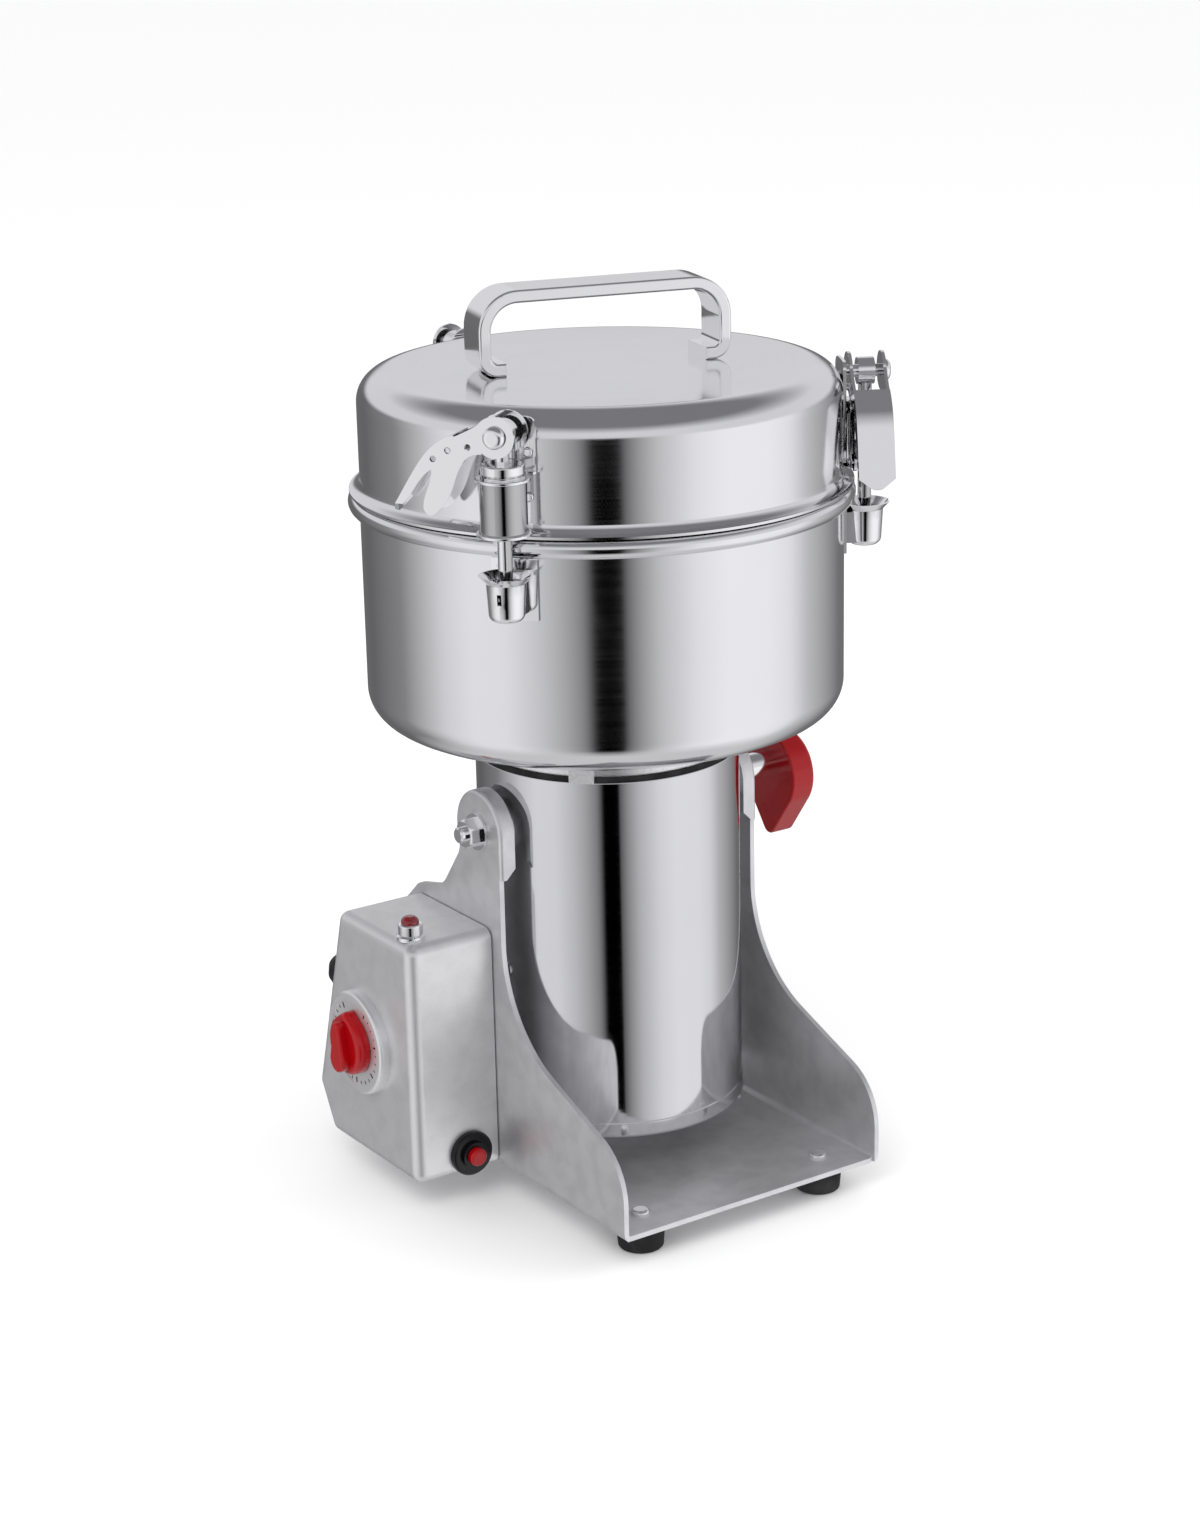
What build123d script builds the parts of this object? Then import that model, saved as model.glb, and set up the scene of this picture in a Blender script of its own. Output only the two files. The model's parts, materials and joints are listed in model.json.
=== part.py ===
from build123d import *
from math import cos, radians, sin, tan
import os

# Swing-type grain mill: a motor and grinding bowl hung between two cheeks of a bent sheet stand.
# Millimetres. +Z is up, the front of the stand faces -Y, and the origin is on the table
# under the motor's centre line.

# ---- stand ----
FOOT_R = 12.0
FOOT_H = 14.0
SHEET = 2.5
BEND_R = 5.0
CHEEK_GAP = 8.8              # between the motor and the inner face of each cheek
BASE_FRONT = 116.0
BASE_REAR = 106.0
CHEEK_FRONT = 117.5
CHEEK_TOE_H = 39.0           # height of the cheek's front corner above the base
CHEEK_TOE_R = 30.0
CHEEK_SLOPE = 21.0           # degrees, top edge of the toe
CHEEK_SWEEP_R = 60.0
CHEEK_REAR_H = 129.0         # height of the rear shoulder above the base
POST_FRONT = 18.0            # front edge of the upright post
POST_REAR = 17.0
HEAD_R = 20.0
NECK_DROP = 14.0             # where the post starts to widen, below the pivot
HEAD_FLANGE = 8.0
HEAD_RIM_R = 2.0             # rounding of the head's outer rim
PIVOT_H = 171.0              # pivot height above the base's underside
FOOT_INSET = 22.5            # foot centre in from the outer face of the cheek
FOOT_SETBACK = 18.0          # foot centre in from the base's front and rear edges
SCREW_R = 2.5
SCREW_HEAD_R = 4.6
SCREW_HEAD_H = 2.2

# ---- control box on the left cheek ----
BOX_DEPTH = 46.5             # how far it stands out from the cheek
BOX_GAP = 0.5
BOX_WALL = 2.0
BOX_ROUND = 5.5
BOX_FRONT = 9.7
BOX_TOP_REAR = 58.0
BOX_BACK = 86.5
BOX_HEEL_H = 24.0            # height of the rearmost corner above the box's underside
BOX_HEEL = 13.0              # how far the underside stops short of that corner
BOX_LIFT = 1.5               # underside above the base's underside
BOX_HEIGHT = 122.5
TIMER_Y = 38.5
TIMER_H = 62.0               # above the base's underside
DIAL_R = 26.0
DIAL_T = 5.0
DIAL_BORE = 5.0
DISH_RIM = 4.5
DISH_T = 0.8
TIMER_BODY = 34.0
TIMER_BODY_DEPTH = 28.0
TIMER_SHAFT_R = 3.0
KNOB_R = 15.0
KNOB_TIP = 17.0
KNOB_SKIRT = 6.5
KNOB_H = 11.0
LAMP_INSET = 9.5             # from the box's outer face
LAMP_Y = 4.0
LAMP_R = 7.0
LAMP_H = 7.8
LAMP_STEM_R = 4.2
LENS_R = 4.4
LENS_DOME = 3.4
BREAKER_OUT = 16.5           # breaker's centre out from the cheek
BREAKER_H = 12.0
BREAKER_R = 11.2
BREAKER_NECK_R = 6.4
BUTTON_R = 4.5
BUTTON_OUT = 8.8
BUTTON_TRAVEL = 3.0
GLAND_INSET = 14.5
GLAND_H = 81.0
GLAND_R = 9.4                # hexagon, centre to flat
GLAND_NECK_R = 6.0
GLAND_NUT = 7.8              # hexagon, centre to flat
GLAND_HEX_T = 5.0
GLAND_COLLAR_T = 5.0
GLAND_TIP_T = 5.0
CORD_R = 4.0

# ---- motor ----
MOTOR_R = 64.2
MOTOR_WALL = 1.2
MOTOR_LIFT = 19.3            # underside of the end cap above the base's underside
MOTOR_H = 181.4
CAP_H = 8.0
CAP_T = 2.6
CAP_LIP = 0.7
SHAFT_R = 6.0
BEARING_R = 16.0
BEARING_H = 10.0
PLATE_H = 8.0
STATOR_BORE = 27.5
STATOR_H = 55.0
YOKE_T = 3.0
AIR_GAP = 0.5
STATOR_LIFT = 55.0           # above the end cap
BUSH_LIFT = 30.0
COMMUTATOR_R = 14.0
COMMUTATOR_H = 18.0
FAN_R = 50.0
FAN_H = 10.0
PIVOT_R = 4.0
BOSS_R = 13.0
NUT_FLATS = 13.0
NUT_H = 6.5
WASHER_R = 9.0
WASHER_T = 1.5

# ---- neck and bowl ----
ISOLATOR_H = 2.6
NECK_H = 15.7
NECK_STEP = 1.7              # neck ring narrower than the motor by this much
NECK_BORE = 46.0
BOWL_R = 114.7
BOWL_WALL = 1.5
BOWL_H = 106.8               # floor to the middle of the rolled rim
BOWL_ROUND = 16.0
BEAD_R = 4.6
BEAD_OUT = 0.9               # bead centre outside the bowl wall's outer face
LINER_T = 3.0
LINER_H = 38.0
LINER_LIFT = 30.0
LINER_TEETH = 60
BLADE_GAP = 11.2             # blade tip in from the bowl's bore
BLADE_W = 22.0
BLADE_T = 3.0
BLADE_LIFT = 12.0            # lowest blade above the bowl's floor
BLADE_STEP = 12.0

# ---- lid, handle and latches ----
BOWL_YAW = 6.0               # the bowl is bolted down turned by this much
LID_STEP = 0.4               # lid wall in from the bowl's outer wall
LID_WALL = 1.2
LID_H = 55.8                 # lip to flat top
LID_ROUND = 14.0
LIP_R = 5.2
SEAT_GAP = 0.3
HANDLE_YAW = -15.0
HANDLE_SPAN = 124.0
HANDLE_RISE = 39.5
HANDLE_T = 6.0
HANDLE_W = 25.0
HANDLE_ROUND = 19.0
HANDLE_HEEL = 9.0
HANDLE_TOE = 13.0
LATCH_ANGLES = (90.0, 216.0, 331.0)
LATCHES = len(LATCH_ANGLES)
LEVER_HANG = (0.0, 0.0, 18.0)   # how much further down each closed lever lies
LATCH_STAND = 11.7           # draw rod out from the lid's wall
LATCH_PLATE_W = 23.0
BARREL_R = 10.6
BARREL_FLANGE = 1.8
BARREL_FLANGE_T = 1.6
BARREL_CAP_H = 6.0
RIVET_R = 2.2
RIVET_Y = 8.0
RIVET_DROPS = (9.7, 29.7)    # below the lever pin
BARREL_H = 26.0
BARREL_LIFT = 3.0            # above the lid's lip
ROD_R = 3.25
ROD_DROP = 2.5               # travel of the draw rod when the lever opens
PIN_LIFT = 48.0              # lever pin above the lid's lip
PIN_R = 3.0
CAM_R = 9.2
LEVER_W = 17.4
LEVER_T = 1.5
LEVER_REACH = 50.0
LEVER_FALL = 36.0
LEVER_POINT = 4.5            # height of the pointed end of the web
CUP_R = 9.0
CUP_LIP_R = 12.3
CUP_H = 21.0
CUP_WALL = 1.3

# ---- right-hand lock knob ----
LOCK_STAND = 22.5            # inner face of the grip out from the cheek
LOCK_T = 14.0
LOCK_R = 21.0
LOCK_DROP = 5.0              # disc centre below the pivot
LOCK_TIP = 37.5
LOCK_TIP_R = 4.5
LOCK_COLLAR_R = 7.0

# ---- clearances ----
RUN = 0.08                   # radial, turning or sliding fits
CLEAR = 0.3                  # between separate bodies

BASE_Z = FOOT_H
FLOOR_Z = BASE_Z + SHEET
PIVOT_Z = BASE_Z + PIVOT_H
CHEEK_X = MOTOR_R + CHEEK_GAP + SHEET   # outer face of each cheek
CHEEK_IN = CHEEK_X - SHEET
FOOT_X = CHEEK_X - FOOT_INSET
FOOT_FRONT = BASE_FRONT - FOOT_SETBACK
FOOT_REAR = BASE_REAR - FOOT_SETBACK
BREAKER_X = CHEEK_X + BREAKER_OUT
LOCK_OUT = CHEEK_X + LOCK_STAND
BOX_FACE = CHEEK_X + BOX_DEPTH
MOTOR_Z = BASE_Z + MOTOR_LIFT
MOTOR_TOP = MOTOR_Z + MOTOR_H
MOTOR_BORE = MOTOR_R - MOTOR_WALL
NECK_R = MOTOR_R - NECK_STEP
NECK_Z = MOTOR_TOP + ISOLATOR_H
BOWL_Z = NECK_Z + NECK_H
BOWL_BORE = BOWL_R - BOWL_WALL
BLADE_R = BOWL_BORE - BLADE_GAP
LID_R = BOWL_R - LID_STEP
LATCH_OUT = LID_R + LATCH_STAND
BEAD_Z = BOWL_Z + BOWL_H
LIP_Z = BEAD_Z + BEAD_R + SEAT_GAP
LID_Z = LIP_Z + LID_H
PIN_Z = LIP_Z + PIN_LIFT
BARREL_Z = LIP_Z + BARREL_LIFT
CUP_TOP = BEAD_Z - 10.0

MID = Align.CENTER
LOW = Align.MIN


def post(r, z0, z1, x=0.0, y=0.0):
    return Pos(x, y, z0) * Cylinder(r, z1 - z0, align=(MID, MID, LOW))


def ring(r_out, r_in, z0, z1):
    return post(r_out, z0, z1) - post(r_in, z0, z1)


def bar_x(r, x0, x1, y, z):
    return Pos(x0, y, z) * Rot(0, 90, 0) * Cylinder(r, x1 - x0, align=(MID, MID, LOW))


def bar_y(r, y0, y1, x, z):
    return Pos(x, y1, z) * Rot(90, 0, 0) * Cylinder(r, y1 - y0, align=(MID, MID, LOW))


def block(x0, x1, y0, y1, z0, z1):
    box = Box(x1 - x0, y1 - y0, z1 - z0, align=(LOW, LOW, LOW))
    return Pos(x0, y0, z0) * box


def slab_x(face, x0, x1):
    """Extrude a sketch drawn as (y, z) from x0 to x1."""
    return Pos(x0, 0, 0) * extrude(Plane.YZ * face, x1 - x0)


def hexagon_x(flats, x0, x1, y, z):
    prism = extrude(RegularPolygon(flats / 2, 6, major_radius=False), x1 - x0)
    return Pos(x0, y, z) * Rot(0, 90, 0) * prism


def quarter(r_mid, r_in, r_out, z_mid, below=True):
    """Quarter ring section, curved outwards like a trumpet, turned about Z."""
    side = -1 if below else 1
    window = Pos(-r_out / 2, side * r_out / 2) * Rectangle(r_out, r_out)
    section = (Circle(r_out) - Circle(r_in)) & window
    return revolve(Plane.XZ * Pos(r_mid, z_mid) * section, Axis.Z)


# ---------------------------------------------------------------- stand

def cheek_outline():
    """Side view of a cheek, as (y, z): toe, sweep up to the post, rear shoulder."""
    rise = (CHEEK_FRONT - POST_FRONT) * tan(radians(CHEEK_SLOPE))
    toe = BASE_Z + CHEEK_TOE_H
    shoulder = BASE_Z + CHEEK_REAR_H
    head_side = PIVOT_Z - HEAD_R
    corners = [
        (-CHEEK_FRONT, BASE_Z),
        (-CHEEK_FRONT, toe),
        (-POST_FRONT, toe + rise),
        (-POST_FRONT, PIVOT_Z),
        (POST_REAR, PIVOT_Z),
        (POST_REAR, PIVOT_Z - NECK_DROP),
        (POST_REAR + 17.0, shoulder + 5.5),
        (POST_REAR + 40.0, shoulder),
        (BOX_BACK + 8.0, shoulder - 34.0),
        (BASE_REAR, shoulder - 86.0),
        (BASE_REAR, BASE_Z),
    ]
    outline = make_face(Polyline(*corners, close=True))
    rounds = {1: CHEEK_TOE_R, 2: CHEEK_SWEEP_R, 5: 10.0, 6: 14.0, 7: 12.0, 8: 40.0, 9: 30.0}
    for index, radius in rounds.items():
        y, z = corners[index]
        vertex = outline.vertices().sort_by_distance(Vector(y, z, 0))[0]
        outline = fillet(vertex, radius)
    head = Pos(0, PIVOT_Z) * Circle(HEAD_R)
    neck = Pos(0, (head_side + PIVOT_Z) / 2 - 6) * Rectangle(2 * POST_REAR, HEAD_R)
    return outline + head + neck


def head_flange():
    """Inward lip round the top and front of the left cheek's head."""
    ring_face = Circle(HEAD_R) - Circle(HEAD_R - SHEET)
    upper = ring_face & Pos(0, HEAD_R / 2) * Rectangle(2 * HEAD_R, HEAD_R)
    drop = Pos(-HEAD_R + SHEET / 2, -HEAD_R / 2) * Rectangle(SHEET, HEAD_R)
    lip = slab_x(Pos(0, PIVOT_Z) * (upper + drop), -CHEEK_X, -CHEEK_X + HEAD_FLANGE)
    tip = lip.edges().filter_by(Axis.Y).sort_by(Axis.Z)[:2].sort_by(Axis.X)[-1]
    return chamfer(tip, HEAD_FLANGE - SHEET - 0.5)


def is_head_rim(edge):
    """True for the round outer edge of a cheek's head."""
    if edge.geom_type != GeomType.CIRCLE or abs(edge.radius - HEAD_R) > 0.01:
        return False
    return abs(abs(edge.center().X) - CHEEK_X) < 0.01


def base_frame():
    outline = cheek_outline()
    left = slab_x(outline, -CHEEK_X, -CHEEK_IN)
    right = slab_x(outline, CHEEK_IN, CHEEK_X)
    floor = block(-CHEEK_X, CHEEK_X, -BASE_FRONT, BASE_REAR, BASE_Z, FLOOR_Z)
    frame = left + right + floor
    corners = frame.edges().filter_by(Axis.Y).filter_by_position(Axis.Z, BASE_Z - 0.01, BASE_Z + 0.01)
    outer = [e for e in corners if abs(abs(e.center().X) - CHEEK_X) < 0.1]
    frame = fillet(outer, BEND_R)
    creases = frame.edges().filter_by(Axis.Y).filter_by_position(Axis.Z, FLOOR_Z - 0.01, FLOOR_Z + 0.01)
    inner = [e for e in creases if abs(abs(e.center().X) - CHEEK_IN) < 0.1]
    frame = fillet(inner, BEND_R - SHEET)
    lip = head_flange()
    frame = frame + lip + mirror(lip, Plane.YZ)
    rims = [e for e in frame.edges() if is_head_rim(e)]
    frame = fillet(rims, min(HEAD_RIM_R, SHEET * 0.8))
    frame = frame - bar_x(PIVOT_R + RUN, -CHEEK_X - 1, CHEEK_X + 1, 0, PIVOT_Z)
    for x, y in foot_places():
        frame = frame - post(SCREW_R, BASE_Z - 1, FLOOR_Z + 1, x, y)
    for y, z in box_posts():
        frame = frame - bar_x(SCREW_R, -CHEEK_X - 1, -CHEEK_IN + 1, y, z)
    return frame


def foot_places():
    return [(x, y) for x in (-FOOT_X, FOOT_X) for y in (-FOOT_FRONT, FOOT_REAR)]


def rubber_feet():
    foot = Cone(FOOT_R - 1.2, FOOT_R, FOOT_H, align=(MID, MID, LOW))
    foot = fillet(foot.edges().sort_by(Axis.Z)[0], 1.5)
    foot = foot - post(SCREW_R, FOOT_H / 3, FOOT_H)
    return [Pos(x, y, 0) * foot for x, y in foot_places()]


def foot_screws():
    head = post(SCREW_HEAD_R, 0, SCREW_HEAD_H)
    head = fillet(head.edges().sort_by(Axis.Z)[-1], SCREW_HEAD_H * 0.7)
    head = head - Box(SCREW_HEAD_R * 1.1, 0.9, SCREW_HEAD_H * 2 - 0.8)
    head = head - Box(0.9, SCREW_HEAD_R * 1.1, SCREW_HEAD_H * 2 - 0.8)
    head = head + post(SCREW_R * 0.98, -1, 0.6)
    shank = post(SCREW_R, FOOT_H / 3 - FLOOR_Z, 0)
    return [Pos(x, y, FLOOR_Z) * (head + shank) for x, y in foot_places()]


# ---------------------------------------------------------------- control box

def box_outline(inset):
    """Side view of the control box as (y, z), drawn in by inset on every side."""
    z0 = BASE_Z + BOX_LIFT
    z1 = z0 + BOX_HEIGHT
    corners = [
        (-BOX_FRONT, z0),
        (-BOX_FRONT, z1),
        (BOX_TOP_REAR, z1),
        (BOX_BACK, z0 + BOX_HEEL_H),
        (BOX_BACK - BOX_HEEL, z0),
    ]
    face = make_face(Polyline(*corners, close=True))
    return offset(face, -inset) if inset else face


def box_posts():
    """Screw posts in the control box, as (y, z)."""
    z0 = BASE_Z + BOX_LIFT
    top = z0 + BOX_HEIGHT
    return [(4.0, top - 29.5), (BOX_TOP_REAR - 8.0, top - 18.5), (BOX_BACK - 16.5, z0 + BOX_HEEL_H + 6.0),
            (BOX_BACK - 44.5, z0 + 10.0)]


def gland_plane():
    """Plane on the box's sloping rear face where the cable gland sits; its z axis points out."""
    z0 = BASE_Z + BOX_LIFT
    low = Vector(0, BOX_BACK, z0 + BOX_HEEL_H)
    high = Vector(0, BOX_TOP_REAR, z0 + BOX_HEIGHT)
    share = (BASE_Z + GLAND_H - low.Z) / (high.Z - low.Z)
    spot = low + (high - low) * share
    run = (low - high).normalized()
    outward = Vector(0, -run.Z, run.Y)
    centre = Vector(-BOX_FACE + GLAND_INSET, spot.Y, spot.Z)
    return Plane(origin=centre, x_dir=(1, 0, 0), z_dir=outward)


def control_box():
    shell = slab_x(box_outline(0), -BOX_FACE, -CHEEK_X - BOX_GAP)
    sides = [e for e in shell.edges() if e.center().X < -CHEEK_X - BOX_GAP - 0.01]
    shell = fillet(sides, BOX_ROUND)
    hollow = slab_x(box_outline(BOX_WALL), -BOX_FACE + BOX_WALL, -CHEEK_X)
    inner = [e for e in hollow.edges() if e.center().X < -CHEEK_X - 0.01]
    hollow = fillet(inner, BOX_ROUND - BOX_WALL)
    shell = shell - hollow
    for y, z in box_posts():
        shell = shell + bar_x(4.0, -BOX_FACE + BOX_WALL / 2, -CHEEK_X, y, z)
    for y, z in box_posts():
        shell = shell - bar_x(SCREW_R, -CHEEK_X - 14, -CHEEK_X + 1, y, z)
    z1 = BASE_Z + BOX_LIFT + BOX_HEIGHT
    shell = shell - bar_x(DIAL_BORE, -BOX_FACE - 1, -BOX_FACE + BOX_WALL + 1, TIMER_Y, BASE_Z + TIMER_H)
    shell = shell - post(LAMP_STEM_R, z1 - BOX_WALL - 1, z1 + 1, -BOX_FACE + LAMP_INSET, LAMP_Y)
    front = -BOX_FRONT
    inside = front + BOX_WALL + BOX_ROUND
    shell = shell - bar_y(BREAKER_NECK_R, front - 1, inside, -BREAKER_X, BASE_Z + BREAKER_H)
    gland_hole = Cylinder(GLAND_NECK_R, 3 * BOX_WALL)
    return shell - gland_plane() * gland_hole


def box_screws():
    screws = []
    for y, z in box_posts():
        head = bar_x(3.6, -CHEEK_IN, -CHEEK_IN + 2.2, y, z)
        head = fillet(head.edges().sort_by(Axis.X)[-1], 1.4)
        screws.append(head + bar_x(SCREW_R, -CHEEK_X - 12, -CHEEK_IN, y, z))
    return screws


def timer_body():
    x0 = -BOX_FACE + BOX_WALL
    z = BASE_Z + TIMER_H
    half = TIMER_BODY / 2
    body = block(x0, x0 + TIMER_BODY_DEPTH, TIMER_Y - half, TIMER_Y + half, z - half, z + half)
    body = fillet(body.edges().filter_by(Axis.X), 4.0)
    return body - bar_x(TIMER_SHAFT_R + RUN, x0 - 1, x0 + TIMER_BODY_DEPTH - 4, TIMER_Y, z)


def timer_dial():
    z = BASE_Z + TIMER_H
    x0 = -BOX_FACE - DIAL_T
    dial = bar_x(DIAL_R, x0, -BOX_FACE, TIMER_Y, z)
    dial = fillet(dial.edges().sort_by(Axis.X)[0], 2.0)
    dish = bar_x(DIAL_R - DISH_RIM, x0 - 1, x0 + DISH_T, TIMER_Y, z)
    return dial - dish - bar_x(DIAL_BORE, x0 - 1, -BOX_FACE + 1, TIMER_Y, z)


def knob_back():
    """Where the timer knob's skirt starts, a clearance above the dial's dish."""
    return -BOX_FACE - DIAL_T + DISH_T - CLEAR


def timer_knob():
    """Egg-shaped skirt with a tapering ridge across it for the fingers."""
    z = BASE_Z + TIMER_H
    x_back = knob_back()
    tip = Pos(0, KNOB_TIP - KNOB_R * 0.3) * Circle(KNOB_R * 0.3)
    egg = make_hull((Circle(KNOB_R) + tip).edges())
    skirt = Pos(x_back, TIMER_Y, z) * extrude(Plane.YZ * egg, -KNOB_SKIRT)
    skirt = fillet(skirt.edges().group_by(Axis.X)[0], 3.0)
    heel = Pos(0, -KNOB_R * 0.45) * Circle(KNOB_R * 0.4)
    nose = Pos(0, KNOB_R * 0.72) * Circle(KNOB_R * 0.15)
    leaf = make_hull((heel + nose).edges())
    ridge = Pos(x_back, TIMER_Y, z) * extrude(Plane.YZ * leaf, -KNOB_H)
    ridge = fillet(ridge.edges().group_by(Axis.X)[0], 1.2)
    knob = skirt + ridge
    return knob - bar_x(TIMER_SHAFT_R, x_back - KNOB_H + 3, x_back + 1, TIMER_Y, z)


def timer_shaft():
    x_back = knob_back()
    inside = -BOX_FACE + BOX_WALL + TIMER_BODY_DEPTH - 4 - CLEAR
    return bar_x(TIMER_SHAFT_R, x_back - KNOB_H + 3, inside, TIMER_Y, BASE_Z + TIMER_H)


def pilot_bezel():
    z = BASE_Z + BOX_LIFT + BOX_HEIGHT
    x = -BOX_FACE + LAMP_INSET
    flange = post(LAMP_R, z, z + 2.6, x, LAMP_Y)
    flange = chamfer(flange.edges().sort_by(Axis.Z)[-1], 0.8)
    collar = post(LAMP_R - 1.0, z + 2.6, z + LAMP_H, x, LAMP_Y)
    collar = fillet(collar.edges().sort_by(Axis.Z)[-1], 0.9)
    body = flange + collar + post(LAMP_STEM_R, z - 18.0, z, x, LAMP_Y)
    return body - post(LENS_R, z + LAMP_H - 5.0, z + LAMP_H + 1, x, LAMP_Y)


def pilot_lens():
    z = BASE_Z + BOX_LIFT + BOX_HEIGHT + LAMP_H
    lens = post(LENS_R, z - 5.0, z + LENS_DOME, -BOX_FACE + LAMP_INSET, LAMP_Y)
    return fillet(lens.edges().sort_by(Axis.Z)[-1], LENS_DOME - 0.3)


def breaker_body():
    z = BASE_Z + BREAKER_H
    y0 = -BOX_FRONT
    flange = bar_y(BREAKER_R, y0 - 3.4, y0, -BREAKER_X, z)
    flange = fillet(flange.edges().sort_by(Axis.Y)[0], 1.6)
    collar = bar_y(BUTTON_R + 2.2, y0 - 5.4, y0 - 3.4, -BREAKER_X, z)
    neck = bar_y(BREAKER_NECK_R, y0, y0 + 14.0, -BREAKER_X, z)
    can = block(-BREAKER_X - 9, -BREAKER_X + 9, y0 + 14.0, y0 + 34.0, z - 6, z + 10)
    bore = bar_y(BUTTON_R + RUN, y0 - 6, y0 + 11.0 + BUTTON_TRAVEL, -BREAKER_X, z)
    return flange + collar + neck + can - bore


def reset_button():
    y0 = -BOX_FRONT
    button = bar_y(BUTTON_R, y0 - BUTTON_OUT, y0 + 10.0, -BREAKER_X, BASE_Z + BREAKER_H)
    return fillet(button.edges().sort_by(Axis.Y)[0], 1.4)


def cable_gland():
    neck = Cylinder(GLAND_NECK_R, BOX_WALL + 5.0, align=(MID, MID, Align.MAX))
    hexed = extrude(RegularPolygon(GLAND_R, 6, major_radius=False), GLAND_HEX_T)
    collar = Pos(0, 0, GLAND_HEX_T) * Cylinder(GLAND_R - 0.6, GLAND_COLLAR_T, align=(MID, MID, LOW))
    tip_z = GLAND_HEX_T + GLAND_COLLAR_T
    tip = Pos(0, 0, tip_z) * Cone(GLAND_R - 0.6, CORD_R + 1.8, GLAND_TIP_T, align=(MID, MID, LOW))
    gland = neck + hexed + collar + tip
    return gland_plane() * (gland - Cylinder(CORD_R, 80.0))


def gland_nut():
    nut = extrude(RegularPolygon(GLAND_NUT, 6, major_radius=False), -4.0)
    nut = nut - Cylinder(GLAND_NECK_R, 20.0)
    return gland_plane() * Pos(0, 0, -BOX_WALL) * nut


# ---------------------------------------------------------------- motor unit

def motor_housing():
    tube = ring(MOTOR_R, MOTOR_BORE, MOTOR_Z + CAP_H, MOTOR_TOP)
    return tube - bar_x(PIVOT_R, -MOTOR_R - 1, MOTOR_R + 1, 0, PIVOT_Z)


def motor_end_cap():
    """Dished cover under the motor, with the lower bearing's seat."""
    cap = post(MOTOR_R + CAP_LIP, MOTOR_Z, MOTOR_Z + CAP_H)
    cap = fillet(cap.edges().sort_by(Axis.Z)[0], 2.2)
    cap = cap - post(MOTOR_BORE - 3, MOTOR_Z + CAP_T, MOTOR_Z + CAP_H)
    seat = ring(BEARING_R + 3, BEARING_R, MOTOR_Z + CAP_T, MOTOR_Z + CAP_T + BEARING_H)
    for i in range(12):
        slot = Pos(BEARING_R + 22, 0, MOTOR_Z) * Box(18, 3.5, 4 * CAP_T)
        cap = cap - Rot(0, 0, 30 * i) * slot
    for place in cap_screw_places():
        cap = cap - place * post(1.8, MOTOR_Z - 1, MOTOR_Z + CAP_H + 1)
    return cap + seat


def cap_screw_places():
    return [Rot(0, 0, 45 + 90 * i) * Pos(MOTOR_BORE - 1.2, 0, 0) for i in range(4)]


def end_cap_screws():
    shank = post(1.8, MOTOR_Z, MOTOR_Z + CAP_H)
    head = post(2.6, MOTOR_Z - 1.8, MOTOR_Z)
    return [place * (shank + head) for place in cap_screw_places()]


def top_plate():
    """Bearing plate that closes the motor and carries the neck."""
    z0 = MOTOR_TOP - PLATE_H
    plate = post(MOTOR_BORE, z0, MOTOR_TOP)
    return plate - post(BEARING_R, z0, MOTOR_TOP)


def stator_core():
    z0 = MOTOR_Z + STATOR_LIFT
    core = ring(MOTOR_BORE, STATOR_BORE, z0, z0 + STATOR_H)
    window = ring(MOTOR_BORE - 9, STATOR_BORE + 8, z0 - 1, z0 + STATOR_H + 1)
    reach = MOTOR_BORE - YOKE_T
    gap = block(-reach, reach, -24, 24, z0 - 2, z0 + STATOR_H + 2)
    return core - (window - gap)


def field_coils():
    z0 = MOTOR_Z + STATOR_LIFT
    coil = ring(MOTOR_BORE - 10, STATOR_BORE + 9, z0 - 8, z0 + STATOR_H + 8)
    gap = block(-MOTOR_BORE, MOTOR_BORE, -26, 26, z0 - 9, z0 + STATOR_H + 9)
    return list((coil - gap).solids())


def bearing(z0):
    return ring(BEARING_R, SHAFT_R + RUN / 2, z0, z0 + BEARING_H)


def lower_bearing():
    return bearing(MOTOR_Z + CAP_T)


def upper_bearing():
    return bearing(MOTOR_TOP - BEARING_H)


def brush_level():
    return MOTOR_Z + BUSH_LIFT + COMMUTATOR_H / 2


def brush_holders():
    z = brush_level()
    holder = block(COMMUTATOR_R + 4, MOTOR_BORE, -6, 6, z - 7, z + 7)
    channel = block(COMMUTATOR_R, MOTOR_BORE - 4, -3, 3, z - 4, z + 4)
    holder = holder & post(MOTOR_BORE, z - 10, z + 10)
    return [Rot(0, 0, turn) * (holder - channel) for turn in (90, 270)]


def carbon_brushes():
    z = brush_level()
    brush = block(COMMUTATOR_R + CLEAR, COMMUTATOR_R + 22, -3, 3, z - 4, z + 4)
    return [Rot(0, 0, turn) * brush for turn in (90, 270)]


def pivot_bosses():
    """Blocks welded on the motor housing that take the pivot bolts."""
    boss = bar_x(BOSS_R, MOTOR_R - 4, CHEEK_IN - CLEAR, 0, PIVOT_Z)
    boss = boss - post(MOTOR_R, PIVOT_Z - 2 * BOSS_R, PIVOT_Z + 2 * BOSS_R)
    boss = boss - bar_x(PIVOT_R, 0, CHEEK_X, 0, PIVOT_Z)
    return [boss, Rot(0, 0, 180) * boss]


def left_pivot_bolt():
    end = CHEEK_X + 0.1 + WASHER_T + NUT_H + 3.3
    bolt = bar_x(PIVOT_R, -end, -MOTOR_BORE + 3, 0, PIVOT_Z)
    return chamfer(bolt.edges().sort_by(Axis.X)[0], 0.8)


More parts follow.
